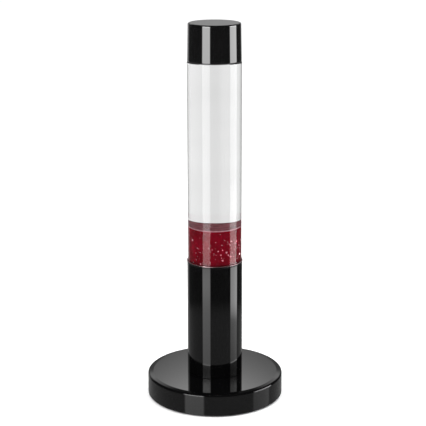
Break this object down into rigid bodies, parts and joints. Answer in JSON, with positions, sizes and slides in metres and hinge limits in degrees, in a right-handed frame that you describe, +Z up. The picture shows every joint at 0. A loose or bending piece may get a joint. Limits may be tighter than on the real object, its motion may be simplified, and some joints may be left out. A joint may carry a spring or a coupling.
{
  "type": "glitter lamp",
  "caption": "Tall glitter lamp: a glass bottle of clear liquid over a red glitter layer, lit from a black column on a weighted round base, under a loose black cap.",
  "frame": {"origin": "middle of the footprint, on the surface that the rubber feet stand on", "axes": "+Z up along the lamp's own axis, -Y the front, +Y the back, where the cord inlet is"},
  "size_m": [0.1292, 0.1308, 0.357],
  "materials": {
    "black_lacquer": "gloss black lacquer",
    "ballast_iron": "rough cast, dull black",
    "plate_paint": "satin black",
    "zinc_steel": "zinc plated",
    "foot_rubber": "matt",
    "grommet_rubber": "matt",
    "white_nylon": "moulded",
    "brown_lead": "smooth insulation",
    "blue_lead": "smooth insulation",
    "green_lead": "smooth insulation, green with a yellow stripe",
    "brass": "bright",
    "black_bakelite": "moulded",
    "white_ceramic": "glazed ceramic",
    "bulb_glass": "clear face, silvered sides",
    "bulb_nickel": "nickel plated",
    "solder": "solder",
    "black_vitrite": "black glass insulator",
    "tungsten": "drawn wire",
    "gasket_silicone": "translucent silicone",
    "clear_glass": "clear, polished",
    "crown_tinplate": "tinplate",
    "clear_liquid": "clear liquid",
    "red_liquid": "dark red liquid with glitter"
  },
  "bodies": {
    "stand": {"base_shell": "black_lacquer", "ballast_weight": "ballast_iron", "base_plate": "plate_paint", "base_plate_screw_1": "zinc_steel", "base_plate_screw_2": "zinc_steel", "base_plate_screw_3": "zinc_steel", "base_plate_screw_4": "zinc_steel", "rubber_foot_1": "foot_rubber", "rubber_foot_2": "foot_rubber", "rubber_foot_3": "foot_rubber", "rubber_foot_4": "foot_rubber", "cord_grommet": "grommet_rubber", "terminal_block": "white_nylon", "terminal_screw_1": "zinc_steel", "terminal_screw_2": "zinc_steel", "terminal_screw_3": "zinc_steel", "live_lead": "brown_lead", "neutral_lead": "blue_lead", "earth_lead": "green_lead", "earth_tag": "brass", "earth_screw": "brass", "column_tube": "black_lacquer", "column_foot_cup": "zinc_steel", "bottle_seat_ring": "zinc_steel", "bottle_seat_gasket": "gasket_silicone", "tie_tube": "brass", "tie_washer": "zinc_steel", "tie_nut": "brass", "lampholder_cap": "black_bakelite", "lampholder_shell": "black_bakelite", "lampholder_core": "white_ceramic", "lampholder_screw_shell": "brass", "lampholder_contact": "brass"},
    "bulb": {"bulb_screw_cap": "bulb_nickel", "bulb_contact": "solder", "bulb_insulator": "black_vitrite", "bulb_glass": "bulb_glass", "bulb_stem": "bulb_glass", "filament": "tungsten", "filament_support_1": "tungsten", "filament_support_2": "tungsten"},
    "bottle": {"glass_bottle": "clear_glass", "bottle_crown_cap": "crown_tinplate", "crown_liner": "gasket_silicone", "clear_liquid": "clear_liquid", "red_liquid": "red_liquid"},
    "cap": {"top_cap": "black_lacquer", "cap_collar": "white_nylon"}
  },
  "joints": [
    {"name": "bottle_lift", "type": "slide", "parent": "stand", "child": "bottle", "axis": [0, 0, 1], "range_m": [0, 0.06]},
    {"name": "cap_lift", "type": "slide", "parent": "bottle", "child": "cap", "axis": [0, 0, 1], "range_m": [0, 0.045]},
    {"name": "bulb_turn", "type": "hinge", "parent": "stand", "child": "bulb", "pos_m": [0, 0, 0.06], "axis": [0, 0, 1], "range_deg": [0, 1080]}
  ]
}
